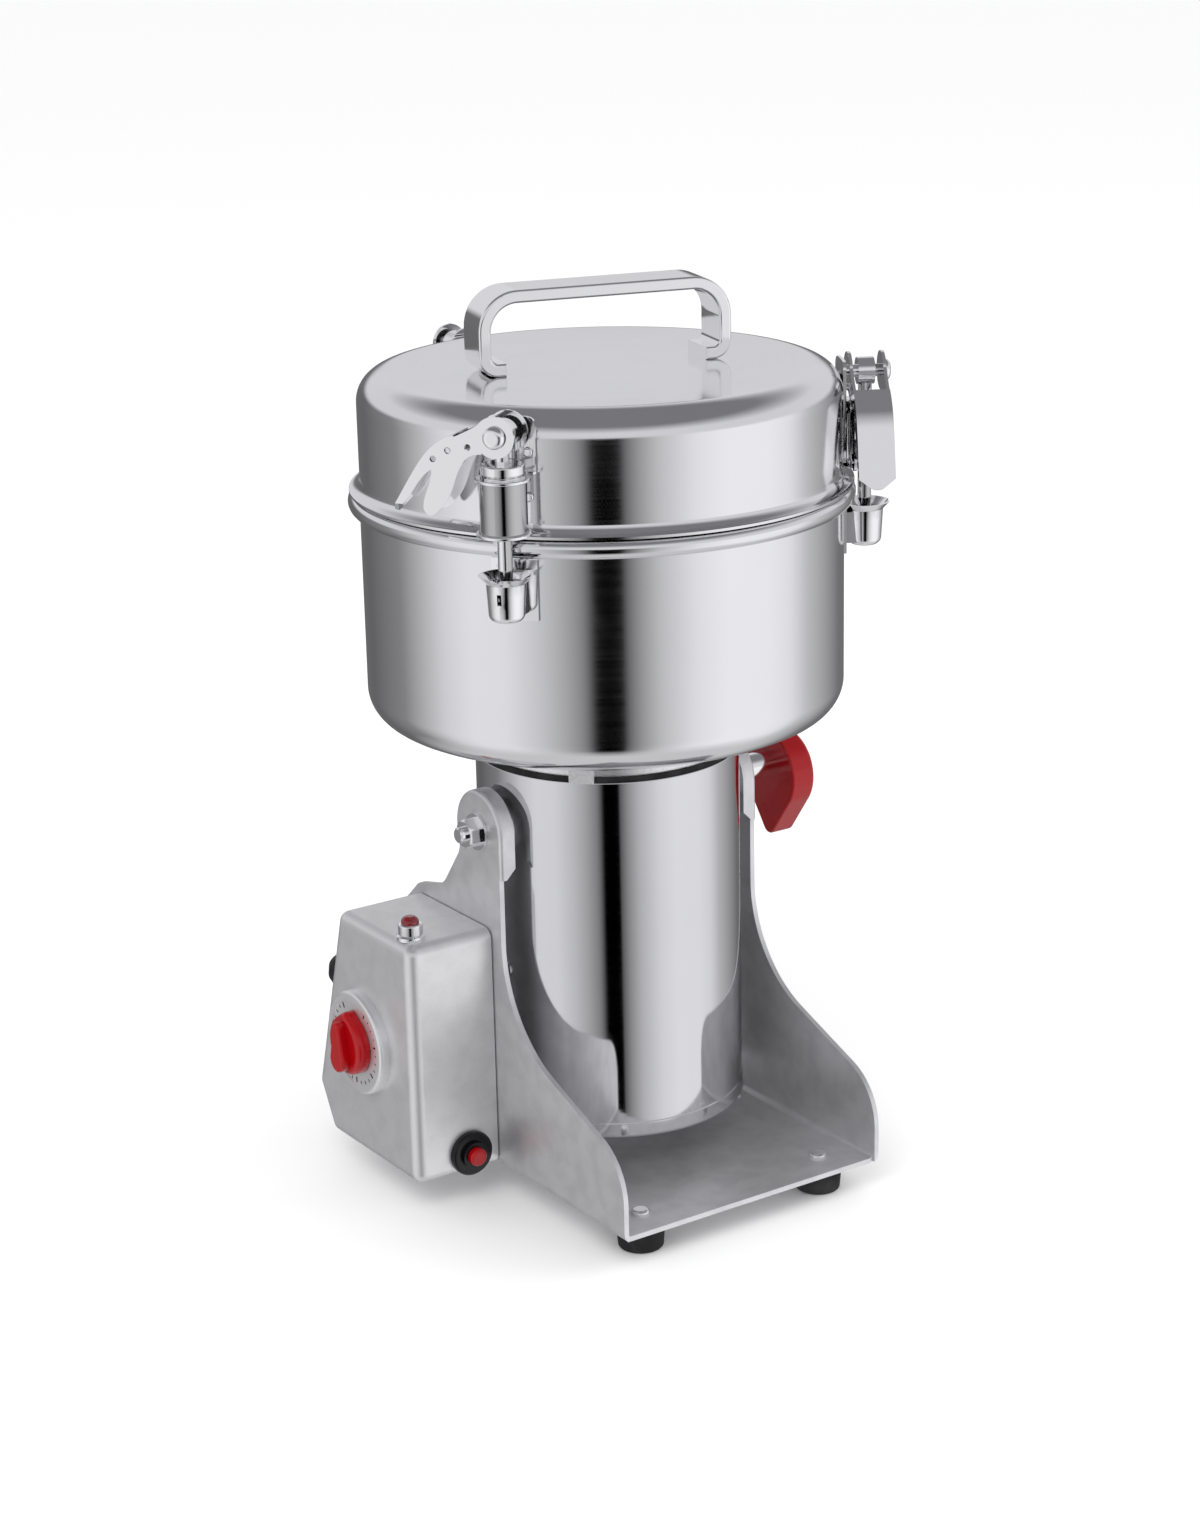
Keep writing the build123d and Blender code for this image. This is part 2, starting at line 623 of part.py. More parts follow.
def left_pivot_nut():
    x1 = -CHEEK_X - 0.1 - WASHER_T
    nut = hexagon_x(NUT_FLATS, x1 - NUT_H, x1, 0, PIVOT_Z)
    crown = bar_x(NUT_FLATS * 0.56, x1 - NUT_H, x1, 0, PIVOT_Z)
    crown = chamfer(crown.edges().sort_by(Axis.X)[0], 1.0)
    return (nut & crown) - bar_x(PIVOT_R, x1 - NUT_H - 1, x1 + 1, 0, PIVOT_Z)


def pivot_washers():
    x0 = CHEEK_X + 0.1
    disc = bar_x(WASHER_R, x0, x0 + WASHER_T, 0, PIVOT_Z)
    disc = disc - bar_x(PIVOT_R, x0 - 1, x0 + 3, 0, PIVOT_Z)
    return [disc, Rot(0, 0, 180) * disc]


def right_pivot_stud():
    stud = bar_x(PIVOT_R, MOTOR_BORE - 3, LOCK_OUT + 4.0, 0, PIVOT_Z)
    return chamfer(stud.edges().sort_by(Axis.X)[-1], 0.8)


def isolation_ring():
    return ring(MOTOR_R - 0.6, NECK_BORE, MOTOR_TOP, NECK_Z)


def neck_ring():
    neck = ring(NECK_R, NECK_BORE, NECK_Z, BOWL_Z)
    edge = MOTOR_R - 0.4
    tab = block(NECK_R - 3, edge + 1.8, -6, 6, NECK_Z, NECK_Z + 4.0)
    tab = Rot(0, 0, -135) * (tab + block(edge, edge + 1.8, -6, 6, MOTOR_TOP + 0.2, NECK_Z))
    for place in bowl_screw_places():
        neck = neck - place * post(SCREW_R, NECK_Z, BOWL_Z + 1)
    return neck + tab


def bowl_screw_places():
    return [Rot(0, 0, BOWL_YAW + 90 * i) * Pos((NECK_R + NECK_BORE) / 2, 0, 0) for i in range(4)]


def bowl_screws():
    floor = BOWL_Z + BOWL_WALL
    head = post(SCREW_HEAD_R, floor, floor + SCREW_HEAD_H)
    head = fillet(head.edges().sort_by(Axis.Z)[-1], SCREW_HEAD_H * 0.7)
    screw = head + post(SCREW_R, NECK_Z + 2, floor)
    return [place * screw for place in bowl_screw_places()]


def grinding_bowl():
    rim = BEAD_Z + BEAD_R
    outer = post(BOWL_R, BOWL_Z, BEAD_Z)
    outer = fillet(outer.edges().sort_by(Axis.Z)[0], BOWL_ROUND)
    bead = revolve(Plane.XZ * Pos(BOWL_R + BEAD_OUT, BEAD_Z) * Circle(BEAD_R), Axis.Z)
    outer = outer + bead
    inner = post(BOWL_BORE, BOWL_Z + BOWL_WALL, rim + 1)
    inner = fillet(inner.edges().sort_by(Axis.Z)[0], BOWL_ROUND - BOWL_WALL)
    bowl = outer - inner - post(BEARING_R + 4, BOWL_Z - 1, BOWL_Z + BOWL_WALL + 1)
    for place in bowl_screw_places():
        bowl = bowl - place * post(SCREW_R, BOWL_Z - 1, BOWL_Z + 3)
    return bowl


def chamber_liner():
    """Serrated ring against the bowl's wall."""
    step = 360.0 / LINER_TEETH
    root = BOWL_BORE - LINER_T / 2
    tip = BOWL_BORE - LINER_T
    points = []
    for i in range(LINER_TEETH):
        a = radians(step * i)
        b = radians(step * (i + 0.35))
        points.append((root * cos(a), root * sin(a)))
        points.append((tip * cos(b), tip * sin(b)))
    bore = make_face(Polyline(*points, close=True))
    return Pos(0, 0, BOWL_Z + LINER_LIFT) * extrude(Circle(BOWL_BORE) - bore, LINER_H)


def shaft_seal():
    """Seal housing in the bowl's floor, round the shaft."""
    z1 = BOWL_Z + BOWL_WALL
    body = post(BEARING_R + 4, NECK_Z + 2, z1) + post(BEARING_R + 8, z1, z1 + 2.5)
    return body - post(SHAFT_R + RUN, NECK_Z, z1 + 4)


# ---------------------------------------------------------------- rotor

def blade_level(i):
    return BOWL_Z + BOWL_WALL + BLADE_LIFT + BLADE_STEP * i


def rotor_shaft():
    top = blade_level(2) + BLADE_T + 12.0
    shaft = post(SHAFT_R, MOTOR_Z + CAP_T + 1.0, top)
    return chamfer(shaft.edges().sort_by(Axis.Z)[-1], 0.8)


def armature():
    z0 = MOTOR_Z + STATOR_LIFT
    core = ring(STATOR_BORE - AIR_GAP, SHAFT_R, z0, z0 + STATOR_H)
    for i in range(12):
        core = core - Rot(0, 0, 30 * i) * block(STATOR_BORE - 8, STATOR_BORE, -1.2, 1.2, z0, z0 + STATOR_H)
    return core


def commutator():
    z0 = MOTOR_Z + BUSH_LIFT
    return ring(COMMUTATOR_R, SHAFT_R, z0, z0 + COMMUTATOR_H)


def cooling_fan():
    z0 = MOTOR_Z + STATOR_LIFT + STATOR_H + 22.0
    fan = ring(FAN_R, SHAFT_R, z0, z0 + 1.5) + ring(12.0, SHAFT_R, z0, z0 + FAN_H)
    for i in range(8):
        fan = fan + Rot(0, 0, 45 * i) * block(11.0, FAN_R - 2, -0.7, 0.7, z0, z0 + FAN_H)
    return fan


def blade(i, radius, lift):
    """Flat bar with both ends bent by lift, on the shaft at level i."""
    z = blade_level(i)
    bend = radius * 0.62
    spine = [(-radius, lift), (-bend, 0), (bend, 0), (radius, lift)]
    top = [(x, h + BLADE_T) for x, h in reversed(spine)]
    side = make_face(Polyline(*spine, *top, close=True))
    bar = Pos(0, BLADE_W / 2, z) * extrude(Plane.XZ * side, BLADE_W)
    bar = bar & post(radius, z - abs(lift) - 5, z + abs(lift) + 8)
    bar = bar - post(SHAFT_R, z - 5, z + BLADE_T + 5)
    return Rot(0, 0, 60 * i + 20) * bar


def blade_spacers():
    spacers = [ring(SHAFT_R + 5, SHAFT_R, BOWL_Z + BOWL_WALL + 2.5 + CLEAR, blade_level(0))]
    for i in range(2):
        spacers.append(ring(SHAFT_R + 5, SHAFT_R, blade_level(i) + BLADE_T, blade_level(i + 1)))
    return spacers


def blade_nut():
    z0 = blade_level(2) + BLADE_T
    nut = Pos(0, 0, z0) * extrude(RegularPolygon(9.5, 6, major_radius=False), 8.0)
    return nut - post(SHAFT_R, z0 - 1, z0 + 9)


# ---------------------------------------------------------------- lid and handle

def lid_shell():
    wall_z = LIP_Z + LID_WALL + LIP_R
    outer = post(LID_R, wall_z, LID_Z)
    outer = fillet(outer.edges().sort_by(Axis.Z)[-1], LID_ROUND)
    inner = post(LID_R - LID_WALL, wall_z, LID_Z - LID_WALL)
    inner = fillet(inner.edges().sort_by(Axis.Z)[-1], LID_ROUND - LID_WALL)
    lip = quarter(LID_R + LIP_R, LIP_R, LIP_R + LID_WALL, wall_z)
    lid = outer - inner + lip
    return lid


def lid_gasket():
    """Soft ring held in the lid, just above the bowl's rim."""
    ro = LID_R - LID_WALL
    return ring(ro, ro - 4.5, LIP_Z + LID_WALL + LIP_R, LIP_Z + LID_WALL + LIP_R + 5.0)


def handle_outline():
    half = HANDLE_SPAN / 2
    loops = []
    for inset in (0.0, HANDLE_T):
        x = half - inset
        z0 = inset
        z1 = HANDLE_RISE - inset
        face = make_face(Polyline((-x, z0), (-x, z1), (x, z1), (x, z0), close=True))
        for px, pz, radius in ((-x, z1, HANDLE_ROUND), (x, z1, HANDLE_ROUND), (-x, z0, HANDLE_HEEL),
                               (x, z0, HANDLE_HEEL)):
            vertex = face.vertices().sort_by_distance(Vector(px, pz, 0))[0]
            face = fillet(vertex, radius - inset)
        loops.append(face)
    gap = Pos(0, HANDLE_T / 2) * Rectangle(HANDLE_SPAN - 2 * HANDLE_TOE, HANDLE_T + 1)
    return loops[0] - loops[1] - gap


def carry_handle():
    """Flat bar bent to a bridge, its turned-in toes welded to the lid."""
    bar = extrude(Plane.XZ * handle_outline(), HANDLE_W / 2, both=True)
    long_edges = [e for e in bar.edges() if abs(abs(e.center().Y) - HANDLE_W / 2) < 0.01]
    bar = fillet(long_edges, 1.2)
    return Pos(0, 0, LID_Z) * Rot(0, 0, HANDLE_YAW) * bar


# ---------------------------------------------------------------- latches
# A latch is drawn at the +X side: x is outwards, y counter-clockwise, z up.

def at_latch(i, shape):
    return Rot(0, 0, LATCH_ANGLES[i]) * shape


def latch_body():
    """Bracket on the lid's wall with the spring barrel."""
    z0 = BARREL_Z
    z1 = z0 + BARREL_H
    half = LATCH_PLATE_W / 2
    plate = ring(LID_R + LEVER_T, LID_R, LIP_Z + LID_WALL + LIP_R, PIN_Z + 6)
    plate = plate & block(LID_R - 20, LID_R + 10, -half, half, z0, PIN_Z + 7)
    side = fillet(plate.edges().filter_by(Axis.X).group_by(Axis.Z)[-1], 4.0)
    barrel = post(BARREL_R, z0, z1, LATCH_OUT, 0)
    low_flange = post(BARREL_R + BARREL_FLANGE, z0, z0 + BARREL_FLANGE_T, LATCH_OUT, 0)
    top_flange = post(BARREL_R + BARREL_FLANGE, z1 - BARREL_FLANGE_T, z1, LATCH_OUT, 0)
    flanges = fillet((low_flange + top_flange).edges(), 0.5)
    flanges = flanges & block(LATCH_OUT - 8, LATCH_OUT + 20, -20, 20, z0 - 1, z1 + 1)
    cap = post(BARREL_R - 0.8, z1, z1 + BARREL_CAP_H, LATCH_OUT, 0)
    cap = fillet(cap.edges().group_by(Axis.Z)[-1], 1.0)
    groove = ring(BARREL_R + 1, BARREL_R - 1.6, z1 + 0.8, z1 + 2.0)
    cap = cap - Pos(LATCH_OUT, 0, 0) * groove
    lugs = block(LID_R + 1, LATCH_OUT - 2, -4.5, 4.5, z0 + 6, z1 - 4)
    body = side + barrel + flanges + cap + lugs
    for drop in RIVET_DROPS:
        rivet = bar_x(RIVET_R, LID_R + 0.5, LID_R + LEVER_T + 1.1, RIVET_Y, PIN_Z - drop)
        body = body + fillet(rivet.edges().sort_by(Axis.X)[-1], 0.9)
    body = body - post(BARREL_R - 2.2, z0 + 1.6, z1 + 2.5, LATCH_OUT, 0)
    return body - post(ROD_R + RUN, z0 - 1, z1 + BARREL_CAP_H + 1, LATCH_OUT, 0)


def latch_spring():
    """Coil spring round the draw rod, inside the barrel."""
    turns = 5
    height = BARREL_H - 4.5
    wire = 0.9
    coil = Helix(pitch=height / turns, height=height, radius=BARREL_R - 4.6)
    section = Plane(origin=coil @ 0, z_dir=coil % 0) * Circle(wire)
    return Pos(LATCH_OUT, 0, BARREL_Z + 2.8) * sweep(section, path=coil)


def draw_rod():
    """Rod with a cross head in the catch, an eye at the top and the lever's pin."""
    foot_z = CUP_TOP - CUP_H + CUP_WALL + ROD_DROP + 1.5
    rod = post(ROD_R, foot_z, PIN_Z, LATCH_OUT, 0)
    cross = block(LATCH_OUT - 2.6, LATCH_OUT + 2.6, -5.6, 5.6, foot_z, foot_z + 4.0)
    eye = bar_x(6.4, LATCH_OUT - 4, LATCH_OUT + 4, 0, PIN_Z)
    half = LEVER_W / 2
    pin = bar_x(PIN_R, LATCH_OUT - half - 0.8, LATCH_OUT + half + 1.0, 0, PIN_Z)
    head = bar_x(5.2, LATCH_OUT + half + CLEAR, LATCH_OUT + half + 3.2, 0, PIN_Z)
    head = fillet(head.edges().sort_by(Axis.X)[-1], 2.6)
    return rod + cross + eye + pin + head


def lever_edge():
    """Back of the lever as (reach, rise) from its pin."""
    return [(7.5, 5.4), (19.0, -0.5), (30.0, -6.8), (36.5, -14.8), (43.5, -26.0),
            (LEVER_REACH, -LEVER_FALL)]


def lever_face():
    """One side cheek of the lever: cam disc, narrow neck and two fingers."""
    back = Spline(*lever_edge())
    finger = Spline((LEVER_REACH, -LEVER_FALL), (40.8, -27.5), (35.0, -19.5), (30.0, -15.4))
    slot = Spline((30.0, -15.4), (31.0, -21.5), (33.6, -28.5), (34.2, -33.0))
    belly = Spline((34.2, -33.0), (31.5, -36.0), (25.5, -32.0), (19.5, -21.5), (14.6, -11.2), (6.0, -7.6))
    edge = [back, finger, slot, belly, Line((6.0, -7.6), lever_edge()[0])]
    clipped = Pos(LEVER_REACH, -LEVER_FALL) * Rectangle(4 * LEVER_POINT, 2 * LEVER_POINT)
    return make_face(edge) - clipped + Circle(CAM_R)


def latch_lever(i):
    """U-shaped cam lever on the rod's pin; reach runs clockwise round the lid."""
    half = LEVER_W / 2
    side = lever_face() - Circle(PIN_R + RUN)
    for reach, rise in ((12.6, -4.8), (22.0, -6.6), (29.0, -10.6)):
        side = side - Pos(reach, rise) * Circle(1.5)
    turn = Plane(origin=(0, 0, 0), x_dir=(0, -1, 0), z_dir=(-1, 0, 0))
    cheek = extrude(turn * side, LEVER_T)
    front = Pos(half, 0, 0) * cheek
    rear = Pos(-half + LEVER_T, 0, 0) * cheek
    web = Pos(half, 0, 0) * extrude(turn * trace(Spline(*lever_edge()[1:]), LEVER_T), LEVER_W)
    foot = -LEVER_FALL + LEVER_POINT
    pointed = Polygon((-half, CAM_R), (-half, foot), (0, -LEVER_FALL - 1), (half, foot), (half, CAM_R),
                      align=None)
    web = web & extrude(Plane.XZ * pointed, 2 * LEVER_REACH, both=True)
    return Pos(LATCH_OUT, 0, PIN_Z) * Rot(LEVER_HANG[i], 0, 0) * (front + rear + web)


def strike():
    """Catch on the bowl's wall: plate and flared cup for the rod's cross head."""
    z1 = CUP_TOP
    z0 = z1 - CUP_H
    half = LATCH_PLATE_W / 2 - 0.5
    plate = ring(BOWL_R + LEVER_T, BOWL_R, z0 - 2, BEAD_Z - BEAD_R - 0.6)
    plate = plate & block(BOWL_R - 20, BOWL_R + 10, -half, half, z0 - 4, BEAD_Z)
    shell = Pos(LATCH_OUT, 0, z0) * Cone(CUP_R - 1.0, CUP_R, CUP_H - 3.5, align=(MID, MID, LOW))
    shell = fillet(shell.edges().sort_by(Axis.Z)[0], 3.6)
    flare = Cone(CUP_R, CUP_LIP_R, 3.5, align=(MID, MID, LOW))
    shell = shell + Pos(LATCH_OUT, 0, z1 - 3.5) * flare
    arm = block(BOWL_R + 0.5, LATCH_OUT, -6.5, 6.5, z0 + 2, z1 - 4)
    hollow = Pos(LATCH_OUT, 0, z0 + CUP_WALL) * Cone(
        CUP_R - 1.0 - CUP_WALL, CUP_R - CUP_WALL, CUP_H - 3.5 - CUP_WALL, align=(MID, MID, LOW))
    hollow = fillet(hollow.edges().sort_by(Axis.Z)[0], 2.4)
    mouth = Cone(CUP_R - CUP_WALL, CUP_LIP_R - CUP_WALL * 0.6, 3.6, align=(MID, MID, LOW))
    mark = block(LATCH_OUT + 2, LATCH_OUT + CUP_LIP_R, -1.0, 1.0, z1 - 12.0, z1 - 7.0)
    notch = Pos(LATCH_OUT + CUP_LIP_R, 0, z1) * Rot(45, 0, 0) * Box(6.0, 2.6, 2.6)
    catch = plate + shell + arm - hollow - Pos(LATCH_OUT, 0, z1 - 3.5) * mouth - mark - notch
    return catch - post(BOWL_R, z0 - 5, z1 + 5)


# ---------------------------------------------------------------- lock knob

def lock_grip():
    """Teardrop grip with its point hanging down, on the right-hand pivot stud."""
    disc = Pos(0, -LOCK_DROP) * Circle(LOCK_R)
    point = Pos(0, LOCK_TIP_R - LOCK_TIP) * Circle(LOCK_TIP_R)
    shape = make_hull((disc + point).edges())
    grip = Pos(0, 0, PIVOT_Z) * slab_x(shape, LOCK_OUT, LOCK_OUT + LOCK_T)
    grip = fillet(grip.edges().group_by(Axis.X)[-1], 2.5)
    grip = fillet(grip.edges().group_by(Axis.X)[0], 1.0)
    return grip - bar_x(LOCK_COLLAR_R, LOCK_OUT - 1, LOCK_OUT + 8, 0, PIVOT_Z)


def lock_collar():
    x0 = CHEEK_X + 0.1 + WASHER_T + CLEAR
    collar = bar_x(LOCK_COLLAR_R, x0, LOCK_OUT + 8, 0, PIVOT_Z)
    return collar - bar_x(PIVOT_R + RUN, x0 - 1, LOCK_OUT + 5, 0, PIVOT_Z)


PARTS = {
    "base_frame": base_frame,
    "rubber_feet": rubber_feet,
    "foot_screws": foot_screws,
    "control_box": control_box,
    "box_screws": box_screws,
    "timer_body": timer_body,
    "timer_dial": timer_dial,
    "timer_knob": timer_knob,
    "timer_shaft": timer_shaft,
    "pilot_bezel": pilot_bezel,
    "pilot_lens": pilot_lens,
    "breaker_body": breaker_body,
    "reset_button": reset_button,
    "cable_gland": cable_gland,
    "gland_nut": gland_nut,
    "motor_housing": motor_housing,
    "motor_end_cap": motor_end_cap,
    "end_cap_screws": end_cap_screws,
    "top_plate": top_plate,
    "stator_core": stator_core,
    "field_coils": field_coils,
    "lower_bearing": lower_bearing,
    "upper_bearing": upper_bearing,
    "brush_holders": brush_holders,
    "carbon_brushes": carbon_brushes,
    "pivot_bosses": pivot_bosses,
    "left_pivot_bolt": left_pivot_bolt,
    "left_pivot_nut": left_pivot_nut,
    "pivot_washers": pivot_washers,
    "right_pivot_stud": right_pivot_stud,
    "isolation_ring": isolation_ring,
    "neck_ring": neck_ring,
    "bowl_screws": bowl_screws,
    "grinding_bowl": grinding_bowl,
    "chamber_liner": chamber_liner,
    "shaft_seal": shaft_seal,
    "rotor_shaft": rotor_shaft,
    "armature": armature,
    "commutator": commutator,
    "cooling_fan": cooling_fan,
    "blade_lower": lambda: blade(0, BLADE_R, -6.0),
    "blade_middle": lambda: blade(1, BLADE_R - 4, 0.0),
    "blade_upper": lambda: blade(2, BLADE_R - 16, 12.0),
    "blade_spacers": blade_spacers,
    "blade_nut": blade_nut,
    "lid_shell": lid_shell,
    "lid_gasket": lid_gasket,
    "carry_handle": carry_handle,
    "latch_bodies": lambda: [at_latch(i, latch_body()) for i in range(LATCHES)],
    "latch_springs": lambda: [at_latch(i, latch_spring()) for i in range(LATCHES)],
    "strikes": lambda: [at_latch(i, strike()) for i in range(LATCHES)],
    "lock_grip": lock_grip,
    "lock_collar": lock_collar,
}
for i in range(LATCHES):
    PARTS[f"draw_rod_{i + 1}"] = lambda i=i: at_latch(i, draw_rod())
    PARTS[f"latch_lever_{i + 1}"] = lambda i=i: at_latch(i, latch_lever(i))

os.makedirs("parts", exist_ok=True)
for name, make in PARTS.items():
    made = make()
    pieces = made if isinstance(made, list) else [made]
    solids = [s for piece in pieces for s in piece.solids()]
    shape = solids[0] if len(solids) == 1 else Compound(solids)
    export_step(shape, f"parts/{name}.step")
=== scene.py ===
import json
import math

import bmesh
import bpy
from mathutils import Matrix, Vector


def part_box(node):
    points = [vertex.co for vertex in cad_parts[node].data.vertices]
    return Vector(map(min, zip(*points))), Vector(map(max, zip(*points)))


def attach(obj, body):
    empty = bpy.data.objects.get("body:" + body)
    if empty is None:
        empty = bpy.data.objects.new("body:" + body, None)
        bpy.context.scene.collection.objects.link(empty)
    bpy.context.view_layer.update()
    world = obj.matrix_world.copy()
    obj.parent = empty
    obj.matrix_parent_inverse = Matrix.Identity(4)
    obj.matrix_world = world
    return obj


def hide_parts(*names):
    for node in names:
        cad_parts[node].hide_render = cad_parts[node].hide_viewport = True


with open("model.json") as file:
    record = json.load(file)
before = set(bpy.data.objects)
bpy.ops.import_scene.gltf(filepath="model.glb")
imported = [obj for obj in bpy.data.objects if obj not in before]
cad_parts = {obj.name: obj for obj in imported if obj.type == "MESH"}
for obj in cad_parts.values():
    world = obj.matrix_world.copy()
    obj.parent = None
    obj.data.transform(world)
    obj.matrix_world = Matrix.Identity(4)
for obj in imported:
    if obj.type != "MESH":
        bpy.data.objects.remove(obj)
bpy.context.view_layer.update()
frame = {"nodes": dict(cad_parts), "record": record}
NODES = frame["nodes"]
MM = 0.001


# ------------------------------------------------------------------ measures read from the frame

def low(node):
    return Vector(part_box(node)[0])


def high(node):
    return Vector(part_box(node)[1])


BOWL_Z = low("grinding_bowl").z
RIM_TOP = high("grinding_bowl").z
RIM_R = high("grinding_bowl").x
LIP_Z = low("lid_shell").z
LID_TOP = high("lid_shell").z
LIP_R = high("lid_shell").x
MOTOR_R = high("motor_housing").x
MOTOR_Z = low("motor_housing").z
MOTOR_TOP = high("motor_housing").z

BEAD_R = 4.6 * MM
BEAD_OUT = 0.9 * MM
BOWL_R = RIM_R - BEAD_R - BEAD_OUT
BOWL_WALL = 1.5 * MM
BOWL_ROUND = 16 * MM
FLARE_R = 5.2 * MM
LID_R = LIP_R - FLARE_R
LID_WALL = 1.2 * MM
LID_ROUND = 14 * MM
SHAFT_HOLE_R = 20 * MM
MOTOR_WALL = 1.2 * MM
CENTRE_R = 0.01 * MM

DISH_T = 0.8 * MM
MARKS_ROUND = 25
MARKS_START = -240.0
MARKS_STEP = 12.5
MARK_OUT = 20.8 * MM
MARK_SIZES = {True: (18.0 * MM, 0.35 * MM), False: (19.2 * MM, 0.2 * MM)}
MARK_RAISED = 0.15 * MM
MARK_SUNK = 0.05 * MM


# ------------------------------------------------------------------ shader node helpers

class Tree:
    """A node tree with short calls for adding and joining nodes."""

    def __init__(self, tree):
        self.tree = tree
        self.nodes = tree.nodes
        self.links = tree.links

    def add(self, kind, **settings):
        node = self.nodes.new(kind)
        for key, value in settings.items():
            setattr(node, key, value)
        return node

    def link(self, out, socket):
        self.links.new(out, socket)

    def math(self, operation, a, b=0.0, clamp=False):
        node = self.add("ShaderNodeMath", operation=operation, use_clamp=clamp)
        for socket, value in zip(node.inputs, (a, b)):
            if isinstance(value, bpy.types.NodeSocket):
                self.link(value, socket)
            else:
                socket.default_value = value
        return node.outputs[0]

    def noise(self, vector, scale, detail=4.0, roughness=0.55):
        node = self.add("ShaderNodeTexNoise")
        self.link(vector, node.inputs["Vector"])
        node.inputs["Scale"].default_value = scale
        node.inputs["Detail"].default_value = detail
        node.inputs["Roughness"].default_value = roughness
        return node.outputs["Fac"]

    def stretch(self, vector, sizes):
        node = self.add("ShaderNodeMapping")
        self.link(vector, node.inputs["Vector"])
        node.inputs["Scale"].default_value = sizes
        return node.outputs["Vector"]

    def range(self, value, from_min, from_max, to_min, to_max):
        node = self.add("ShaderNodeMapRange")
        self.link(value, node.inputs["Value"])
        for name, number in (("From Min", from_min), ("From Max", from_max),
                             ("To Min", to_min), ("To Max", to_max)):
            if isinstance(number, bpy.types.NodeSocket):
                self.link(number, node.inputs[name])
            else:
                node.inputs[name].default_value = number
        return node.outputs["Result"]

    def mix(self, fac, a, b, blend="MIX"):
        node = self.add("ShaderNodeMix", data_type="RGBA", blend_type=blend)
        for socket, value in ((node.inputs["Factor"], fac), (node.inputs[6], a), (node.inputs[7], b)):
            if isinstance(value, bpy.types.NodeSocket):
                self.link(value, socket)
            elif isinstance(value, (int, float)):
                socket.default_value = value
            else:
                socket.default_value = (*value, 1.0)
        return node.outputs[2]


def group(name, inputs, outputs):
    """An empty shader node group: inputs are (name, default), outputs are names."""
    tree = bpy.data.node_groups.new(name, "ShaderNodeTree")
    for label, default in inputs:
        socket = tree.interface.new_socket(label, in_out="INPUT", socket_type="NodeSocketFloat")
        socket.default_value = default
    for label in outputs:
        tree.interface.new_socket(label, in_out="OUTPUT", socket_type="NodeSocketFloat")
    t = Tree(tree)
    return tree, t, t.add("NodeGroupInput").outputs, t.add("NodeGroupOutput").inputs


def make_turned_lines():
    """Fine rings left by spinning and polishing: they follow height and radius."""
    tree, t, given, out = group("turned_lines", [("Pitch", 900.0), ("Drift", 14.0)], ["Lines", "Cloud"])
    place = t.add("ShaderNodeTexCoord").outputs["Object"]
    parts = t.add("ShaderNodeSeparateXYZ")
    t.link(place, parts.inputs[0])
    radius = t.math("SQRT", t.math("ADD", t.math("POWER", parts.outputs[0], 2.0),
                                   t.math("POWER", parts.outputs[1], 2.0)))
    ring = t.math("ADD", radius, parts.outputs[2])
    joined = t.add("ShaderNodeCombineXYZ")
    t.link(t.math("MULTIPLY", ring, given["Pitch"]), joined.inputs[2])
    t.link(t.math("MULTIPLY", parts.outputs[0], given["Drift"]), joined.inputs[0])
    t.link(t.math("MULTIPLY", parts.outputs[1], given["Drift"]), joined.inputs[1])
    t.link(t.noise(joined.outputs[0], 1.0, 3.0, 0.6), out["Lines"])
    t.link(t.noise(place, 9.0, 3.0), out["Cloud"])
    return tree


def make_grain():
    """Fine even grain of paint, rubber or cast metal, with a slow drift over it."""
    tree, t, given, out = group("fine_grain", [("Size", 1200.0)], ["Grain", "Cloud"])
    place = t.add("ShaderNodeTexCoord").outputs["Object"]
    node = t.add("ShaderNodeTexNoise")
    t.link(place, node.inputs["Vector"])
    t.link(given["Size"], node.inputs["Scale"])
    node.inputs["Detail"].default_value = 2.0
    t.link(node.outputs["Fac"], out["Grain"])
    t.link(t.noise(place, 11.0, 4.0), out["Cloud"])
    return tree


def make_wear_and_painted_light():
    """Masks from pointiness. Outside edges, broken up by a mottled mask, serve as rubbed wear on moulded
    plastic and as a painted edge highlight on paint. Inside corners serve as painted shade in the nooks.
    """
    tree, t, given, out = group("edge_wear_and_painted_light", [("Reach", 0.03), ("Mottle", 90.0)], ["Wear", "PaintedNookShade"])
    point = t.add("ShaderNodeNewGeometry").outputs["Pointiness"]
    place = t.add("ShaderNodeTexCoord").outputs["Object"]
    node = t.add("ShaderNodeTexNoise")
    t.link(place, node.inputs["Vector"])
    t.link(given["Mottle"], node.inputs["Scale"])
    top = t.math("ADD", given["Reach"], 0.5)
    # Outside edges: painted edge highlight on paint, rubbed wear on moulded plastic.
    edge = t.range(point, 0.502, top, 0.0, 1.0)
    t.link(t.math("MULTIPLY", edge, t.range(node.outputs["Fac"], 0.35, 0.6, 0.2, 1.0)), out["Wear"])
    # Inside corners: painted shade for the nooks.
    bottom = t.math("SUBTRACT", 0.5, given["Reach"])
    t.link(t.range(point, bottom, 0.498, 1.0, 0.0), out["PaintedNookShade"])
    return tree


